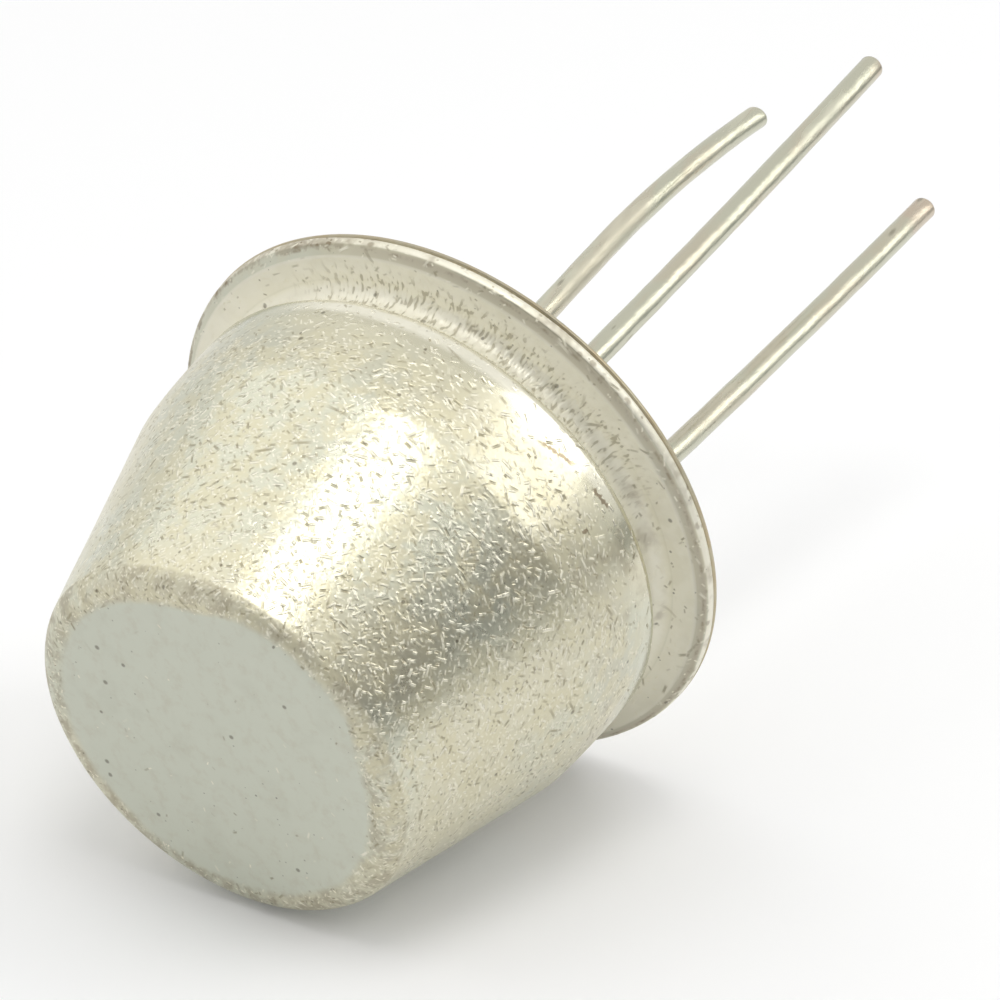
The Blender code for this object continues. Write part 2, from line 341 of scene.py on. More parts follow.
def makeGrimeGroup():
    # soft patches with ragged edges, for stains and worn plating
    tree, source, target = newGroup(
        "grimePatches",
        [("Vector", vectorKind, None), ("Scale", floatKind, 0.5), ("Share", floatKind, 0.5),
         ("Softness", floatKind, 0.08)],
        [("Mask", floatKind)])
    plugs = source.outputs
    broad = noise(tree, plugs["Vector"], plugs["Scale"], 3.0, 0.62)
    level = calc(tree, "SUBTRACT", 1.0, plugs["Share"])
    patch = fade(tree, broad, calc(tree, "SUBTRACT", level, plugs["Softness"]),
                 calc(tree, "ADD", level, plugs["Softness"]))
    plug(tree, patch, target.inputs["Mask"])
    return tree


def makeStreakGroup():
    # one ragged streak at a given place
    tree, source, target = newGroup(
        "placedStreak",
        [("Vector", vectorKind, None), ("Middle", vectorKind, None), ("Turn", floatKind, 0.0),
         ("Reach", floatKind, 0.5), ("Width", floatKind, 0.05), ("Ragged", floatKind, 1.0)],
        [("Mask", floatKind)])
    plugs = source.outputs
    offset = addNode(tree, "ShaderNodeVectorMath", {0: plugs["Vector"], 1: plugs["Middle"]},
                     operation="SUBTRACT")
    turned = addNode(tree, "ShaderNodeVectorRotate", {
        "Vector": offset.outputs[0], "Angle": calc(tree, "MULTIPLY", plugs["Turn"], -1.0)},
        rotation_type="Z_AXIS")
    split = addNode(tree, "ShaderNodeSeparateXYZ", {"Vector": turned.outputs[0]})
    ends = fade(tree, calc(tree, "ABSOLUTE", split.outputs["X"]),
                calc(tree, "MULTIPLY", plugs["Reach"], 0.6), plugs["Reach"], 1.0, 0.0)
    ragged = calc(tree, "MULTIPLY", plugs["Width"], plugs["Ragged"])
    sides = fade(tree, calc(tree, "ABSOLUTE", split.outputs["Y"]),
                 calc(tree, "MULTIPLY", ragged, 0.3), ragged, 1.0, 0.0)
    plug(tree, calc(tree, "MULTIPLY", ends, sides), target.inputs["Mask"])
    return tree


axisGroup, dashGroup = makeAxisGroup(), makeDashGroup()
pitGroup, sheetPitGroup = makePitGroup("pitMarks", "3D"), makePitGroup("sheetPitMarks", "2D")
grimeGroup, streakGroup = makeGrimeGroup(), makeStreakGroup()
print("node groups made")


def startMaterial(name):
    material = bpy.data.materials.new(name)
    material.use_nodes = True
    tree = material.node_tree
    shader = tree.nodes["Principled BSDF"]
    objectPoint = addNode(tree, "ShaderNodeTexCoord").outputs["Object"]
    place = useGroup(tree, axisGroup, {"Vector": objectPoint})
    return material, tree, shader, place


def addBump(tree, shader, height, distance):
    bump = addNode(tree, "ShaderNodeBump", {"Height": height, "Distance": distance, "Strength": 1.0})
    plug(tree, bump.outputs["Normal"], shader.inputs["Normal"])


# Plated can

canLook = {
    "plain": (0.690, 0.680, 0.550), "warm": (0.700, 0.670, 0.520), "cool": (0.660, 0.670, 0.555),
    "worn": (0.690, 0.650, 0.470), "band": (0.960, 0.935, 0.815), "slope": (0.550, 0.505, 0.395),
    "neck": (0.950, 0.925, 0.800), "chipAndHighlight": (0.985, 0.960, 0.840), "face": (0.668, 0.686, 0.582),
    "darkMark": (0.330, 0.290, 0.190), "brightMarkAndGlint": (0.930, 0.900, 0.770), "pit": (0.140, 0.120, 0.080),
    "stainAndShade": (0.300, 0.245, 0.165), "metallic": 0.95, "roughness": 0.30, "bump": 0.014,  # mm
    # degrees round the axis: the scratched side, the shaded part of the flange, the dents at the neck
    "scratchedWay": -40.0, "shadedWay": -75.0, "dentedWay": -22.0,
    "pitKinds": (  # scale per mm, share and size of the pits, the tiny pits and the specks on the rim
        (1.6, 0.08, 0.11), (4.5, 0.05, 0.13), (3.2, 0.40, 0.30)),
    "layers": (  # scale per mm, share, length, width, light or not, depth
        (6.4, 0.90, 0.50, 0.22, True, 0.0), (5.2, 0.65, 0.50, 0.20, False, 0.0),
        (4.2, 0.95, 0.54, 0.18, True, 1.1), (3.2, 0.60, 0.52, 0.15, False, 1.1),
        (2.4, 0.70, 0.52, 0.13, True, 1.2), (1.4, 0.35, 0.50, 0.085, False, 0.0)),
    "streaks": (  # degrees round the axis, height, turn in degrees, half length, half width
        (-49.5, 2.62, 20.0, 0.62, 0.075), (-62.5, 2.33, 10.0, 0.42, 0.10), (-65.0, 3.35, 80.0, 0.12, 0.07)),
}

# mm: where each look starts and stops, by radius, by height along the can's axis (the names in High
# and flangeTop), or by how far it lies to one side (sideShade)
canZones = {
    "flangeTop": (0.95, 1.10), "band": (7.22, 7.92), "ridge": (7.88, 7.94), "slope": (7.89, 8.16),
    "slopeRise": (7.90, 8.10), "dirtLine": (8.06, 8.12), "rimDirt": (8.08, 8.16),
    "edgeStain": (8.05, 8.20), "edge": (8.17, 8.20), "neckRing": (6.95, 7.15), "neckRingHigh": (0.78, 1.45),
    "neck": (7.16, 7.30), "neckHigh": (1.62, 1.86), "dents": (7.30, 7.75), "dentsHigh": (1.50, 1.65),
    "fold": (7.00, 7.15), "foldHigh": (1.80, 2.30),
    "foldGloss": (6.90, 7.10), "foldGlossHigh": (1.70, 2.55),
    "wallHigh": (2.1, 3.9), "tanHigh": (3.2, 4.6), "tanSideHigh": (2.2, 6.5), "sideShade": (-6.6, -7.0),
    "face": (4.54, 4.82), "faceHigh": (11.15, 11.25), "endEdgeHigh": (11.05, 11.60),
}


def makeCanMaterial():
    look, zones = canLook, canZones
    material, tree, shader, place = startMaterial("platedCan")
    point, radius, height = place["Place"], place["Radius"], place["Height"]
    mapped = addNode(tree, "ShaderNodeUVMap", uv_map="turnedMap").outputs["UV"]

    # zones of the profile: band, sloped outer strip and edge of the flange, and the neck
    lowDown = fade(tree, height, *zones["flangeTop"], 1.0, 0.0)
    band = product(tree, between(tree, radius, *zones["band"], 0.04), lowDown)
    slopeZone = product(tree, between(tree, radius, *zones["slope"], 0.05), lowDown)
    edge = fade(tree, radius, *zones["edge"])
    ridgeGlint = product(tree, between(tree, radius, *zones["ridge"], 0.02), lowDown)
    neck = product(tree, fade(tree, radius, *zones["neck"], 1.0, 0.0),
                   fade(tree, height, *zones["neckHigh"], 1.0, 0.0))
    split = addNode(tree, "ShaderNodeSeparateXYZ", {"Vector": point})
    side = towards(tree, split, radius, look["scratchedWay"])
    drift = calc(tree, "MULTIPLY_ADD", noise(tree, point, 0.55, 2.0), 0.8, -0.4)
    # the outer sloped strip is painted darker, most on the shaded side: its own tan tone and painted shade
    shaded = fade(tree, towards(tree, split, radius, look["shadedWay"]), -0.10, 0.35)
    slope = product(tree, slopeZone, calc(tree, "MULTIPLY_ADD", shaded, 0.85, 0.15),
                    fade(tree, radius, *zones["slopeRise"], 0.45, 1.0))

    # the flat end stops sooner on the scratched side, and a rough worn edge runs round it
    cutBack = calc(tree, "MULTIPLY_ADD", drift, 0.35, fade(tree, side, 0.80, 0.97, 0.0, 0.50))
    flatEnd = product(tree, fade(tree, calc(tree, "SUBTRACT", radius, cutBack), *zones["face"], 1.0, 0.0),
                      fade(tree, height, *zones["faceHigh"]))
    offFace = calc(tree, "SUBTRACT", 1.0, flatEnd)
    endEdge = product(tree, between(tree, height, *zones["endEdgeHigh"], 0.06), offFace)
    worn = product(tree, endEdge, fade(tree, side, -0.7, 0.2, 0.25, 0.6))

    # marks crowd on the scratched side of the wall and on the worn edge, and thin out elsewhere
    facing = fade(tree, calc(tree, "ADD", side, drift), -0.60, 0.75)
    front = fade(tree, calc(tree, "MULTIPLY_ADD", drift, 2.2, height), *zones["wallHigh"])
    crowd = product(tree, facing, calc(tree, "MULTIPLY_ADD", front, 0.80, 0.20), offFace)
    density = calc(tree, "MULTIPLY_ADD", calc(tree, "MAXIMUM", crowd, worn), 0.95,
                   calc(tree, "MULTIPLY_ADD", offFace, 0.04, 0.01))

    dark, bright, depth = 0.0, 0.0, 0.0
    for index, (scale, share, length, width, light, weight) in enumerate(look["layers"]):
        shifted = addNode(tree, "ShaderNodeMapping", {
            "Vector": mapped, "Location": (3.7 * index, 9.1 * index, 0.0),
            "Rotation": (0.0, 0.0, 0.9 * index)}, vector_type="POINT").outputs["Vector"]
        marks = useGroup(tree, dashGroup, {
            "Vector": shifted, "Scale": scale, "Length": length / scale, "Width": width / scale,
            "Share": calc(tree, "MULTIPLY", density, share),
            "Turn": -0.9 * index - 1.15, "Spread": 2.3})["Mask"]
        if light:
            bright = calc(tree, "MAXIMUM", bright, marks)
        else:
            dark = calc(tree, "MAXIMUM", dark, marks)
        if weight:
            depth = calc(tree, "MULTIPLY_ADD", marks, weight if light else -weight, depth)

    # coarse dents drawn out along the profile where the neck turns into the flange
    drawn = addNode(tree, "ShaderNodeMapping", {
        "Vector": mapped, "Scale": (1.0, 0.42, 1.0)}, vector_type="POINT").outputs["Vector"]
    dents = noise(tree, drawn, 7.5, 1.0, 0.60)
    dentSide = towards(tree, split, radius, look["dentedWay"])
    dentZone = product(tree, fade(tree, calc(tree, "MULTIPLY_ADD", drift, 0.5, dentSide), 0.56, 0.84),
                       fade(tree, calc(tree, "ADD", radius, drift), *zones["dents"], 1.0, 0.0),
                       fade(tree, height, *zones["dentsHigh"], 1.0, 0.0))
    dentDark = product(tree, fade(tree, dents, 0.36, 0.44, 1.0, 0.0), dentZone)
    dentBright = product(tree, fade(tree, dents, 0.46, 0.54), dentZone)
    depth = calc(tree, "MULTIPLY_ADD", product(tree, dents, dentZone), 3.4, depth)

    # the largest marks, each at its own place, with a wobbly outline
    around = addNode(tree, "ShaderNodeSeparateXYZ", {"Vector": mapped}).outputs["X"]
    rolled = addNode(tree, "ShaderNodeCombineXYZ", {"X": around, "Y": height}).outputs["Vector"]
    ragged = fade(tree, noise(tree, rolled, 7.0, 1.0), 0.35, 0.65, 0.35, 1.4)
    wobble = addNode(tree, "ShaderNodeTexNoise", {"Vector": rolled, "Scale": 5.0, "Detail": 1.0})
    wobbleReach = 0.16
    rolled = addNode(tree, "ShaderNodeVectorMath", {
        0: wobble.outputs["Color"], 1: (wobbleReach, wobbleReach, 0.0), 2: rolled},
        operation="MULTIPLY_ADD").outputs[0]
    creases = 0.0
    for angle, high, turn, reach, width in look["streaks"]:
        crease = useGroup(tree, streakGroup, {
            "Vector": rolled, "Turn": math.radians(turn), "Reach": reach, "Width": width, "Ragged": ragged,
            "Middle": (math.radians(angle) * unroll["radius"] + wobbleReach / 2,
                       high + wobbleReach / 2, 0.0)})["Mask"]
        creases = calc(tree, "MAXIMUM", creases, crease)

    pits, tiny, specks = (
        useGroup(tree, sheetPitGroup, {
            "Vector": mapped, "Scale": scale, "Share": share, "Size": size})["Mask"]
        for scale, share, size in look["pitKinds"])
    pits = calc(tree, "MAXIMUM", pits, calc(tree, "MULTIPLY", tiny, 0.7))

    # colour: slow shifts of the plating, stains mixed with painted shade, painted highlights on the neck,
    # along the fold, on the ridge and on the rim edge, and the marks
    shift = noise(tree, point, 0.22, 1.0)
    colour = mixColour(tree, fade(tree, shift, 0.38, 0.62), look["cool"], look["warm"])
    mottle = noise(tree, point, 1.4, 3.0, 0.6)
    blotch = noise(tree, point, 2.0, 3.0, 0.7)
    colour = mixColour(tree, fade(tree, mottle, 0.35, 0.75, 0.0, 0.5), colour, look["plain"])

    stains = useGroup(tree, grimeGroup, {"Vector": point, "Scale": 0.8, "Share": 0.40})["Mask"]
    # a darker ring in the neck crease: painted shade, patchy with the stains
    creaseShadeAndStain = product(tree, between(tree, height, *zones["neckRingHigh"], 0.10),
                        fade(tree, radius, *zones["neckRing"], 1.0, 0.0),
                        calc(tree, "MULTIPLY_ADD", stains, 0.35, 0.04))
    edgeStain = product(tree, fade(tree, radius, *zones["edgeStain"]),
                        calc(tree, "MULTIPLY_ADD", stains, 0.45, calc(tree, "MULTIPLY", specks, 0.5)))
    dirtLine = product(tree, between(tree, radius, *zones["dirtLine"], 0.03), lowDown,
                       fade(tree, blotch, 0.46, 0.62))
    rimDirt = product(tree, fade(tree, radius, *zones["rimDirt"]), calc(tree, "SUBTRACT", 1.0, shaded),
                      fade(tree, blotch, 0.36, 0.56, 0.1, 0.6))
    endStain = product(tree, endEdge, fade(tree, blotch, 0.40, 0.62, 0.06, 0.5))
    # darker on the side turned from the light: painted shade; and a darker tan band round the wall at mid
    # height
    sideShade = product(tree, fade(tree, split.outputs["Y"], *zones["sideShade"]),
                      between(tree, height, *zones["tanSideHigh"], 0.6))
    tan = calc(tree, "MULTIPLY", between(tree, height, *zones["tanHigh"], 0.5), 0.14)
    tan = calc(tree, "MULTIPLY_ADD", sideShade, calc(tree, "MULTIPLY_ADD", stains, 0.35, 0.08), tan)
    stainsAndShade = calc(tree, "MULTIPLY_ADD", dirtLine, 0.7, edgeStain)
    for layer in (rimDirt, endStain, creaseShadeAndStain, tan):
        stainsAndShade = calc(tree, "ADD", layer, stainsAndShade)
    stainsAndShade = calc(tree, "MULTIPLY_ADD", stains, 0.05, stainsAndShade, clamp=True)
    colour = mixColour(tree, band, colour, look["band"])
    colour = mixColour(tree, flatEnd, colour, look["face"])
    faceSpots = calc(tree, "MULTIPLY", flatEnd, fade(tree, blotch, 0.46, 0.74, 0.0, 0.30))
    colour = mixColour(tree, faceSpots, colour, look["slope"])
    colour = mixColour(tree, slope, colour, look["slope"])
    # the neck is painted bright cream: partly its pale plating, partly a painted highlight
    colour = mixColour(tree, neck, colour, look["neck"])
    # a pale band on the wall along the fold under the shoulder: a painted highlight
    foldHighlight = product(tree, between(tree, height, *zones["foldHigh"], 0.14),
                       fade(tree, dentSide, 0.62, 0.88, 0.0, 0.75), fade(tree, radius, *zones["fold"]))
    colour = mixColour(tree, foldHighlight, colour, look["chipAndHighlight"])
    # the rim edge is painted bright: a painted highlight
    colour = mixColour(tree, edge, colour, look["brightMarkAndGlint"])
    # stains, together with the painted shade in the neck crease and on the wall
    colour = mixColour(tree, stainsAndShade, colour, look["stainAndShade"])
    colour = mixColour(tree, calc(tree, "MULTIPLY", crowd, fade(tree, mottle, 0.42, 0.60, 0.15, 0.85)),
                       colour, look["worn"])
    colour = mixColour(tree, calc(tree, "MULTIPLY", dentBright, 0.85), colour, look["chipAndHighlight"])
    colour = mixColour(tree, calc(tree, "MULTIPLY", dentDark, 0.55), colour, look["darkMark"])
    # light marks, and the ridge line painted lighter: a painted highlight
    lightMarksAndRidgeGlint = calc(tree, "MAXIMUM", calc(tree, "MULTIPLY", bright, 0.95),
                      calc(tree, "MULTIPLY", ridgeGlint, 0.35))
    colour = mixColour(tree, lightMarksAndRidgeGlint, colour, look["brightMarkAndGlint"])
    for share, amount, name in ((dark, 0.72, "darkMark"), (pits, 0.65, "pit"), (creases, 0.92, "stainAndShade")):
        colour = mixColour(tree, calc(tree, "MULTIPLY", share, amount), colour, look[name])
    plug(tree, colour, shader.inputs["Base Color"])

    # the flat end and the band are dull and hardly mirror, the fold under the shoulder is glossy
    dull = calc(tree, "MAXIMUM", band, flatEnd)
    atFold = product(tree, between(tree, height, *zones["foldGlossHigh"], 0.20),
                     fade(tree, radius, *zones["foldGloss"]))
    rough = calc(tree, "MULTIPLY_ADD", mottle, 0.20, look["roughness"] - 0.10)
    for share, amount in ((atFold, -0.14), (stainsAndShade, 0.20), (bright, 0.25), (dull, 0.26), (neck, 0.14),
                          (slopeZone, 0.15), (edge, 0.16), (endEdge, 0.12)):
        rough = calc(tree, "MULTIPLY_ADD", share, amount, rough)
    plug(tree, calc(tree, "MULTIPLY_ADD", dark, 0.15, rough, clamp=True), shader.inputs["Roughness"])
    metallic = look["metallic"]
    for share, amount in ((dull, -0.72), (neck, -0.65), (crowd, -0.14), (slopeZone, -0.75),
                          (endEdge, -0.25), (foldHighlight, -0.60), (edge, -0.45)):
        metallic = calc(tree, "MULTIPLY_ADD", share, amount, metallic)
    plug(tree, metallic, shader.inputs["Metallic"])

    lumps = calc(tree, "MULTIPLY", noise(tree, point, 2.6, 2.0, 0.65),
                 calc(tree, "MULTIPLY_ADD", crowd, 0.7, 0.30))
    relief = calc(tree, "MULTIPLY_ADD", depth, 0.8, lumps)
    addBump(tree, shader, relief, look["bump"] * mm)
    return material


# Cap

facetFit = math.cos(math.pi / 64)  # the CAD solids are 64-sided; a true circle has to fit inside
cap = {
    "segments": 288, "sheet": 0.35, "rimRadius": 8.25, "seam": 0.29, "rimHigh": 0.58,
    "ridge": 7.88, "band": 0.75, "shoulder": 7.32, "neckTurn": 67.0, "neckFillet": 0.45,
    "bulge": 0.42, "barrel": 28.0, "barrelTurn": 5.5, "blend": 2.00, "cone": 15.0,
    "endRadius": 5.387, "height": 11.50, "edgeRound": 0.70, "ripple": (2.4, 0.030),  # size, depth in mm
}


def wallProfile(inset, fine):
    cone, turn = math.radians(cap["cone"]), math.radians(cap["neckTurn"])
    lean = math.radians(cap["barrelTurn"])
    flatRadius = cap["endRadius"] - cap["edgeRound"] * math.tan((math.pi / 2 - cone) / 2)
    edgeMiddle = (flatRadius, cap["height"] - cap["edgeRound"])
    filletHeight = cap["band"] + cap["neckFillet"]
    both = cap["neckFillet"] + cap["bulge"]
    bulgeMiddle = (cap["shoulder"] - cap["bulge"], filletHeight + both * math.sin(turn))
    filletMiddle = (bulgeMiddle[0] + both * math.cos(turn), filletHeight)
    barrelMiddle = (cap["shoulder"] - cap["barrel"], bulgeMiddle[1])
    blendMiddle = (barrelMiddle[0] + (cap["barrel"] - cap["blend"]) * math.cos(lean),
                   barrelMiddle[1] + (cap["barrel"] - cap["blend"]) * math.sin(lean))

    edge = arcPoints(edgeMiddle, cap["edgeRound"] - inset, math.pi / 2, cone, 4 * fine)
    blend = arcPoints(blendMiddle, cap["blend"] - inset, cone, lean, 2 * fine)
    barrel = arcPoints(barrelMiddle, cap["barrel"] - inset, lean, 0.0, 2 * fine)
    bulge = arcPoints(bulgeMiddle, cap["bulge"] - inset, 0.0, -turn, 3 * fine)
    fillet = arcPoints(filletMiddle, cap["neckFillet"] + inset, math.pi - turn, 1.5 * math.pi, 3 * fine)
    top = (0.3, cap["height"] - inset)
    return (
        [top] + linePoints(top, edge[0], 2 * fine) + edge
        + linePoints(edge[-1], blend[0], 6 * fine) + blend
        + barrel[1:] + bulge[1:] + fillet[1:]
    )


def makeCap(material):
    outer = wallProfile(0.0, 5)
    inner = wallProfile(cap["sheet"], 2)
    ridge, rim, band = cap["ridge"], cap["rimRadius"], cap["band"]
    rimPoints = linePoints(outer[-1], (ridge - 0.08, band - 0.005), 5) + [
        (ridge - 0.08, band - 0.005), (ridge - 0.03, band + 0.004), (ridge + 0.02, band),
        (ridge + 0.07, band - 0.020), (ridge + 0.20, band - 0.095), (rim - 0.08, cap["rimHigh"] + 0.015),
        (rim - 0.045, cap["rimHigh"] - 0.010), (rim - 0.025, cap["rimHigh"] - 0.045),
        (rim - 0.012, cap["rimHigh"] - 0.090), (rim, cap["rimHigh"] - 0.150),
        (rim, cap["seam"] + 0.04), (rim - 0.03, cap["seam"] + 0.012), (ridge, band - cap["sheet"]),
    ]
    profile = [(radius * facetFit, height) for radius, height in outer + rimPoints + inner[::-1]]
    piece = turnProfile("capShell", profile, cap["segments"])
    unrollMap(piece, profile, 10)  # the flat end runs to point 10 of the profile
    ripple(piece, *cap["ripple"])
    layDown(piece)
    finishPiece(piece, material, "cap")


makeCap(makeCanMaterial())
print("cap made")


# Leads

leads = {
    "segments": 24, "radius": 0.37, "circle": 2.80, "middle": (0.0, -0.97), "top": 2.70,
    "straight": 0.60, "steps": 64, "ripple": (1.3, 0.022),
    "topShare": 0.86, "cutRound": 0.16, "cutRings": 6, "cutFlat": 0.45,  # both ends of each wire
    "paths": {
        "base_lead": {"angle": 90.0, "length": 19.3, "lean": (0.002, -0.003),
                      "bow": (-0.43, -0.55), "bowFrom": 10.4},
        "emitter_lead": {"angle": -30.0, "length": 19.6, "lean": (-0.038, -0.0165),
                         "bow": (0.40, 0.0), "bowFrom": 0.0},
        "collector_lead": {"angle": 210.0, "length": 20.7, "lean": (-0.077, -0.051),
                           "bow": (0.53, 0.0), "bowFrom": 0.0},
    },
}


def leadFoot(name):
    angle = math.radians(leads["paths"][name]["angle"])
    return (leads["middle"][0] + leads["circle"] * math.cos(angle),
            leads["middle"][1] + leads["circle"] * math.sin(angle))


def leadPoint(name, depth):
    path = leads["paths"][name]
    x, y = leadFoot(name)
    run = max(0.0, depth - leads["straight"])
    curl = max(0.0, run - path["bowFrom"])
    share = curl / (path["length"] - leads["straight"] - path["bowFrom"])
    return (x + path["lean"][0] * run + path["bow"][0] * share * share,
            y + path["lean"][1] * run + path["bow"][1] * share * share, -depth)


leadLook = {
    "plain": (0.600, 0.595, 0.480), "warm": (0.620, 0.560, 0.440), "tip": (0.640, 0.470, 0.380),
    "pale": (0.720, 0.700, 0.580), "dark": (0.220, 0.205, 0.150), "metallic": 0.9, "roughness": 0.20,
    "tipHigh": (-18.9, -18.3), "bump": 0.022,  # mm
}


def makeLeadMaterial():
    look = leadLook
    material, tree, shader, place = startMaterial("tinnedWire")
    point, height = place["Place"], place["Height"]
    drawn = addNode(tree, "ShaderNodeMapping", {
        "Vector": point, "Scale": (1.0, 1.0, 0.28)}, vector_type="POINT").outputs["Vector"]
    streaks = noise(tree, drawn, 3.4, 4.0, 0.6)
    patches = useGroup(tree, grimeGroup, {"Vector": drawn, "Scale": 1.1, "Share": 0.48})["Mask"]
    colour = mixColour(tree, calc(tree, "MULTIPLY", patches, 0.6), look["plain"], look["warm"])
    tips = fade(tree, calc(tree, "MULTIPLY_ADD", noise(tree, point, 1.5), 1.6, height),
                *look["tipHigh"], 0.40, 0.0)
    colour = mixColour(tree, tips, colour, look["tip"])
    worn = useGroup(tree, grimeGroup, {
        "Vector": drawn, "Scale": 0.9, "Share": 0.40, "Softness": 0.10})["Mask"]
    nicks = useGroup(tree, pitGroup, {"Vector": drawn, "Scale": 1.9, "Share": 0.40, "Size": 0.18})["Mask"]
    colour = mixColour(tree, calc(tree, "MULTIPLY", worn, 0.30), colour, look["pale"])
    colour = mixColour(tree, calc(tree, "MULTIPLY", nicks, 0.6), colour, look["dark"])
    plug(tree, colour, shader.inputs["Base Color"])
    rough = calc(tree, "MULTIPLY_ADD", streaks, 0.30, look["roughness"] - 0.13)
    plug(tree, calc(tree, "MULTIPLY_ADD", worn, 0.22, rough), shader.inputs["Roughness"])
    plug(tree, calc(tree, "MULTIPLY_ADD", worn, -0.25, look["metallic"]), shader.inputs["Metallic"])
    relief = calc(tree, "MULTIPLY_ADD", nicks, -0.5, streaks)
    addBump(tree, shader, relief, look["bump"] * mm)
    return material


def makeLeads(material):
    radius = leads["radius"]
    for name, path in leads["paths"].items():
        depths = [-leads["top"] + 0.02, -leads["top"] + 0.10, 0.0, leads["straight"]]
        run = path["length"] - leads["straight"] - leads["cutRound"]
        depths += [leads["straight"] + run * step / leads["steps"] for step in range(1, leads["steps"] + 1)]
        rings = [(*leadPoint(name, depth), radius) for depth in depths]
        rings[0] = (*leadPoint(name, depths[0]), radius * leads["topShare"])
        for step in range(1, leads["cutRings"] + 1):  # rounded cut end
            turn = math.pi / 2 * step / (leads["cutRings"] + 1)
            depth = path["length"] - leads["cutRound"] * (1.0 - math.sin(turn)) - 0.01
            share = leads["cutFlat"] + (1.0 - leads["cutFlat"]) * math.cos(turn)
            rings.append((*leadPoint(name, depth), radius * share))
        piece = pullRings(name.replace("_lead", "Wire"), rings, leads["segments"])
        ripple(piece, *leads["ripple"])
        layDown(piece)
        finishPiece(piece, material, name)


makeLeads(makeLeadMaterial())
print("leads made")


# Header

header = {
    "segments": 192, "platform": 5.80, "platformHeight": 1.20, "thickness": 0.38,
    "low": 0.16, "underside": 7.80, "bead": 0.95, "leadHole": 0.40,
    "holeSegments": 48, "holeDepth": 4.0, "holeMiddle": 0.6, "smoothAngle": 40.0,
}

headerLook = {
    "plain": (0.560, 0.545, 0.430), "tan": (0.520, 0.420, 0.265), "dark": (0.150, 0.120, 0.075),
    "metallic": 0.92, "roughness": 0.42, "rimRing": (7.95, 8.15), "bump": 0.020,  # mm
}


def makeHeaderMaterial(name, look):
    material, tree, shader, place = startMaterial(name)
    point = place["Place"]
    mottle = noise(tree, point, 1.3, 4.0, 0.6)
    colour = mixColour(tree, fade(tree, mottle, 0.38, 0.68, 0.0, 0.45), look["plain"], look["tan"])
    rimRing = fade(tree, place["Radius"], *look["rimRing"])
    stains = useGroup(tree, grimeGroup, {"Vector": point, "Scale": 0.9, "Share": 0.45})["Mask"]
    ringTan = product(tree, rimRing, calc(tree, "MULTIPLY_ADD", stains, 0.35, 0.35))
    colour = mixColour(tree, ringTan, colour, look["tan"])
    pits = useGroup(tree, pitGroup, {"Vector": point, "Scale": 1.8, "Share": 0.32, "Size": 0.13})["Mask"]
    colour = mixColour(tree, calc(tree, "MULTIPLY", pits, 0.7), colour, look["dark"])
    plug(tree, colour, shader.inputs["Base Color"])
    plug(tree, calc(tree, "MULTIPLY_ADD", mottle, 0.20, look["roughness"] - 0.10),
         shader.inputs["Roughness"])
    shader.inputs["Metallic"].default_value = look["metallic"]
    relief = calc(tree, "MULTIPLY_ADD", pits, -0.8, noise(tree, point, 3.5, 4.0, 0.6))
    addBump(tree, shader, relief, look["bump"] * mm)
    return material


def makeHeader(material):
    rim = cap["rimRadius"]
    profile = [
        (0.4, header["platformHeight"]), (header["platform"] - 0.25, header["platformHeight"]),
        (header["platform"] - 0.08, header["platformHeight"] - 0.06),
        (header["platform"], header["platformHeight"] - 0.22),
        (header["platform"] + 0.04, header["thickness"] + 0.22),
        (header["platform"] + 0.12, header["thickness"] + 0.06),
        (header["platform"] + 0.28, header["thickness"]),
        (cap["ridge"] - 0.02, header["thickness"]), (rim - 0.03, cap["seam"] - 0.012),
        (rim, cap["seam"] - 0.04), (rim, header["low"] + 0.05), (rim - 0.03, header["low"] - 0.01),
        (header["underside"] + 0.06, 0.02), (header["underside"] - 0.05, 0.0),
        (header["platform"] + 0.3, 0.0), (header["platform"] + 0.22, 0.05),
        (header["platform"] + 0.08, 0.05), (header["platform"], 0.0), (0.4, 0.0),
    ]
    profile = [(radius * facetFit, height) for radius, height in profile]
    piece = turnProfile("headerDisc", profile, header["segments"])
    holes = {"base_lead": header["bead"], "emitter_lead": header["bead"],
             "collector_lead": header["leadHole"]}
    for name, radius in holes.items():
        x, y = leadFoot(name)
        clearSelection()
        bpy.ops.mesh.primitive_cylinder_add(
            vertices=header["holeSegments"], radius=radius * mm, depth=header["holeDepth"] * mm,
            location=(x * mm, y * mm, header["holeMiddle"] * mm))
        cutter = bpy.context.object
        clearSelection()
        piece.select_set(True)
        bpy.context.view_layer.objects.active = piece
        cut = piece.modifiers.new("hole", "BOOLEAN")
        cut.operation = "DIFFERENCE"
        cut.solver = "EXACT"
        cut.object = cutter
        bpy.ops.object.modifier_apply(modifier=cut.name)
        bpy.data.objects.remove(cutter, do_unlink=True)
    bpy.ops.object.shade_smooth_by_angle(angle=math.radians(header["smoothAngle"]))
    layDown(piece)
    finishPiece(piece, material, "header")


makeHeader(makeHeaderMaterial("platedHeader", headerLook))
print("header made")


# Beads and braze

seals = {
    "segments": 48, "gap": 0.02, "below": 0.06, "above": 0.12, "braze": 0.80, "brazeHeight": 0.32,
    "brazeSteps": 8,
}

glassLook = {
    "deep": (0.020, 0.055, 0.045), "pale": (0.060, 0.120, 0.095), "bubble": (0.160, 0.220, 0.190),
    "roughness": 0.10, "coat": 0.6, "coatRoughness": 0.05, "bump": 0.010,  # mm
}


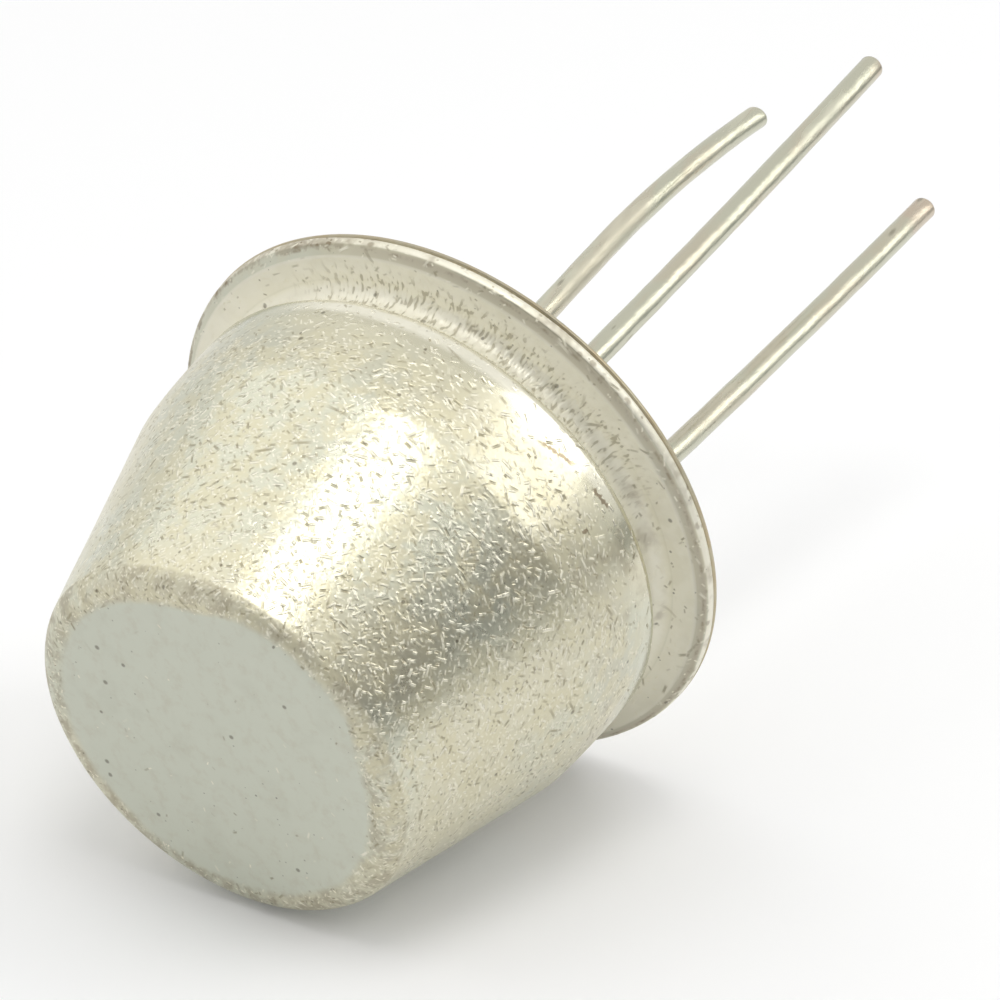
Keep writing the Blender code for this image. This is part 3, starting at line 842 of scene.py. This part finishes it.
def makeGlassMaterial():
    material, tree, shader, place = startMaterial("sealGlass")
    cloud = noise(tree, place["Place"], 3.0, 3.0)
    colour = mixColour(tree, fade(tree, cloud, 0.35, 0.7), glassLook["deep"], glassLook["pale"])
    bubbles = useGroup(tree, pitGroup, {
        "Vector": place["Place"], "Scale": 5.0, "Share": 0.3, "Size": 0.2})["Mask"]
    colour = mixColour(tree, calc(tree, "MULTIPLY", bubbles, 0.4), colour, glassLook["bubble"])
    plug(tree, colour, shader.inputs["Base Color"])
    plug(tree, calc(tree, "MULTIPLY_ADD", cloud, 0.12, glassLook["roughness"]),
         shader.inputs["Roughness"])
    shader.inputs["Coat Weight"].default_value = glassLook["coat"]
    shader.inputs["Coat Roughness"].default_value = glassLook["coatRoughness"]
    addBump(tree, shader, cloud, glassLook["bump"] * mm)
    return material


def makeSeals(glass, braze):
    bore = leads["radius"] + seals["gap"]
    outer = header["bead"] - seals["gap"]
    high = header["platformHeight"]
    above, below = seals["above"], seals["below"]
    beadProfile = [
        (bore, high + above), (bore + 0.12, high + above * 0.95), (bore + 0.28, high + above * 0.45),
        (outer - 0.06, high + 0.01), (outer, high - 0.02), (outer, below + 0.02),
        (outer - 0.05, below - 0.01), (bore + 0.28, below - 0.05), (bore + 0.12, below - 0.10),
        (bore, -below + 0.01), (bore, high + above),
    ]
    for name, lead in (("baseSeal", "base_lead"), ("emitterSeal", "emitter_lead")):
        piece = turnProfile(name, beadProfile, seals["segments"], leadFoot(lead),
                            startShut=False, endShut=False, ringShut=True)
        layDown(piece)
        finishPiece(piece, glass, lead.replace("lead", "bead"))

    foot = seals["braze"]
    reach = foot - bore - 0.06
    profile = [(bore, -seals["gap"]), (foot, -seals["gap"])]
    for step in range(1, seals["brazeSteps"] + 1):
        turn = math.pi / 2 * step / seals["brazeSteps"]
        profile.append((foot - reach * math.sin(turn),
                        -seals["gap"] - seals["brazeHeight"] * (1.0 - math.cos(turn))))
    profile += [(bore, -seals["gap"] - seals["brazeHeight"]), profile[0]]
    piece = turnProfile("brazeFillet", profile, seals["segments"], leadFoot("collector_lead"),
                        startShut=False, endShut=False, ringShut=True)
    layDown(piece)
    finishPiece(piece, braze, "collector_braze")


brazeLook = {
    "plain": (0.560, 0.530, 0.430), "tan": (0.500, 0.400, 0.260), "dark": (0.130, 0.105, 0.070),
    "metallic": 0.9, "roughness": 0.48, "rimRing": (7.95, 8.15), "bump": 0.020,  # mm
}
makeSeals(makeGlassMaterial(), makeHeaderMaterial("silverBraze", brazeLook))
print("seals made")


# Crystal, inside the can

insideLooks = {  # nodes, light and deep colour, roughness
    "copper": (("crystal_holder",), (0.560, 0.270, 0.150), (0.360, 0.170, 0.110), 0.36),
    "indium": (("collector_pellet", "emitter_pellet"), (0.570, 0.580, 0.600), (0.420, 0.430, 0.450), 0.40),
    "germanium": (("germanium_wafer",), (0.180, 0.180, 0.190), (0.110, 0.110, 0.125), 0.22),
    "nickel": (("base_ring", "base_strap", "emitter_strap"), (0.520, 0.500, 0.440),
               (0.400, 0.380, 0.320), 0.34),
}
insideMetallic, insideBump = 0.95, 0.008  # bump in mm

for name, (nodes, light, deep, rough) in insideLooks.items():
    material, tree, shader, place = startMaterial(name + "Inside")
    cloud = noise(tree, place["Place"], 2.5, 4.0, 0.6)
    plug(tree, mixColour(tree, fade(tree, cloud, 0.35, 0.7), light, deep), shader.inputs["Base Color"])
    plug(tree, calc(tree, "MULTIPLY_ADD", cloud, 0.2, rough - 0.1), shader.inputs["Roughness"])
    shader.inputs["Metallic"].default_value = insideMetallic
    addBump(tree, shader, noise(tree, place["Place"], 9.0, 3.0), insideBump * mm)
    for node in nodes:
        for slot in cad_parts[node].material_slots:
            slot.material = material
print("crystal finished")


# Floor, light and camera

studio = {
    "floor": (0.862, 0.866, 0.884), "floorSize": 3.0, "floorLift": 0.08, "world": 0.82,
    "dimWorld": 0.15, "dimTo": 50.0, "dimAside": (72.0, 60.0), "dimHigh": (31.0, 50.0),  # degrees
    "mirroredShade": (0.39, 0.41, 0.41), "mirroredShadeWay": 100.0, "mirroredShadeFade": (0.030, 0.054),  # m
    "aim": (0.008, 0.0, 0.007), "lampColour": (1.0, 0.985, 0.95), "skyColour": (1.0, 1.0, 0.985),
    "camera": {"lens": 162.0, "place": (0.095505, 0.058937, 0.061222), "turn": (63.79, 0.0, 122.198)},
    "lamps": (  # direction, distance m, size m, power W
        ("keyLamp", (47.0, 75.0), 0.30, (0.12, 0.12), 0.195),
        ("sideLamp", (114.0, 36.0), 0.32, (0.15, 0.18), 0.155),
        ("stripLamp", (134.0, 37.0), 0.32, (0.042, 0.30), 0.060),
        ("fillLamp", (-85.0, 52.0), 0.40, (0.36, 0.36), 0.18)),
}


def pointTo(azimuth, elevation):
    azimuth, elevation = math.radians(azimuth), math.radians(elevation)
    return Vector((math.cos(elevation) * math.cos(azimuth), math.cos(elevation) * math.sin(azimuth),
                   math.sin(elevation)))


def makeFloor():
    clearSelection()
    bpy.ops.mesh.primitive_plane_add(size=studio["floorSize"], location=(0.0, 0.0, 0.0))
    floor = bpy.context.object
    floor.name = "studioFloor"
    material = bpy.data.materials.new("paleFloor")
    material.use_nodes = True
    tree = material.node_tree
    tree.nodes.clear()
    # the floor looks plain itself, but what the can mirrors of it is darker beyond one line: painted shade
    # in the reflections
    split = addNode(tree, "ShaderNodeSeparateXYZ", {
        "Vector": addNode(tree, "ShaderNodeTexCoord").outputs["Object"]})
    rays = addNode(tree, "ShaderNodeLightPath").outputs
    mirroredShade = product(tree, calc(tree, "SUBTRACT", 1.0, rays["Is Camera Ray"]),
                    fade(tree, along(tree, split, studio["mirroredShadeWay"]), *studio["mirroredShadeFade"]))
    colour = mixColour(tree, mirroredShade, studio["floor"], studio["mirroredShade"])
    matt = addNode(tree, "ShaderNodeBsdfDiffuse", {"Color": colour})
    seen = calc(tree, "MAXIMUM", rays["Is Camera Ray"],
                calc(tree, "MAXIMUM", rays["Is Glossy Ray"], rays["Is Transmission Ray"]))
    lift = product(tree, seen, studio["floorLift"], calc(tree, "SUBTRACT", 1.0, mirroredShade))
    glow = addNode(tree, "ShaderNodeEmission", {"Color": (1.0, 1.0, 1.0, 1.0), "Strength": lift})
    both = addNode(tree, "ShaderNodeAddShader")
    plug(tree, matt.outputs[0], both.inputs[0])
    plug(tree, glow.outputs[0], both.inputs[1])
    target = addNode(tree, "ShaderNodeOutputMaterial")
    plug(tree, both.outputs[0], target.inputs["Surface"])
    floor.data.materials.append(material)


def makeWorld():
    # an even pale room, dimmer low down on the side the camera stands
    world = bpy.context.scene.world or bpy.data.worlds.new("room")
    bpy.context.scene.world = world
    world.use_nodes = True
    tree = world.node_tree
    tree.nodes.clear()
    way = addNode(tree, "ShaderNodeTexCoord").outputs["Generated"]
    split = addNode(tree, "ShaderNodeSeparateXYZ", {"Vector": way})
    facing = towards(tree, split, awayFrom(tree, split), studio["dimTo"])
    aside = fade(tree, facing, *(math.cos(math.radians(angle)) for angle in studio["dimAside"]))
    low = fade(tree, split.outputs["Z"], *(math.sin(math.radians(angle)) for angle in studio["dimHigh"]),
               1.0, 0.0)
    dim = calc(tree, "MULTIPLY", aside, low)
    strength = calc(tree, "MULTIPLY_ADD", dim, studio["dimWorld"] - studio["world"], studio["world"])
    sky = addNode(tree, "ShaderNodeBackground", {
        "Color": (*studio["skyColour"], 1.0), "Strength": strength})
    target = addNode(tree, "ShaderNodeOutputWorld")
    plug(tree, sky.outputs[0], target.inputs["Surface"])


def makeLamps():
    aim = Vector(studio["aim"])
    for name, direction, distance, size, power in studio["lamps"]:
        data = bpy.data.lights.new(name, "AREA")
        data.shape = "RECTANGLE"
        data.size, data.size_y = size
        data.energy = power
        data.color = studio["lampColour"]
        lamp = bpy.data.objects.new(name, data)
        bpy.context.scene.collection.objects.link(lamp)
        way = pointTo(*direction)
        lamp.location = aim + way * distance
        lamp.rotation_euler = (-way).to_track_quat("-Z", "Y").to_euler()


def makeCamera():
    view = studio["camera"]
    data = bpy.data.cameras.new("photoCamera")
    data.lens = view["lens"]
    data.sensor_width = 36.0
    data.clip_start = 0.005
    data.clip_end = 20.0
    camera = bpy.data.objects.new("photoCamera", data)
    bpy.context.scene.collection.objects.link(camera)
    camera.location = view["place"]
    camera.rotation_euler = tuple(math.radians(angle) for angle in view["turn"])
    bpy.context.scene.camera = camera


makeFloor()
makeWorld()
makeLamps()
makeCamera()
bpy.context.scene.view_settings.view_transform = "Standard"
print("studio set")
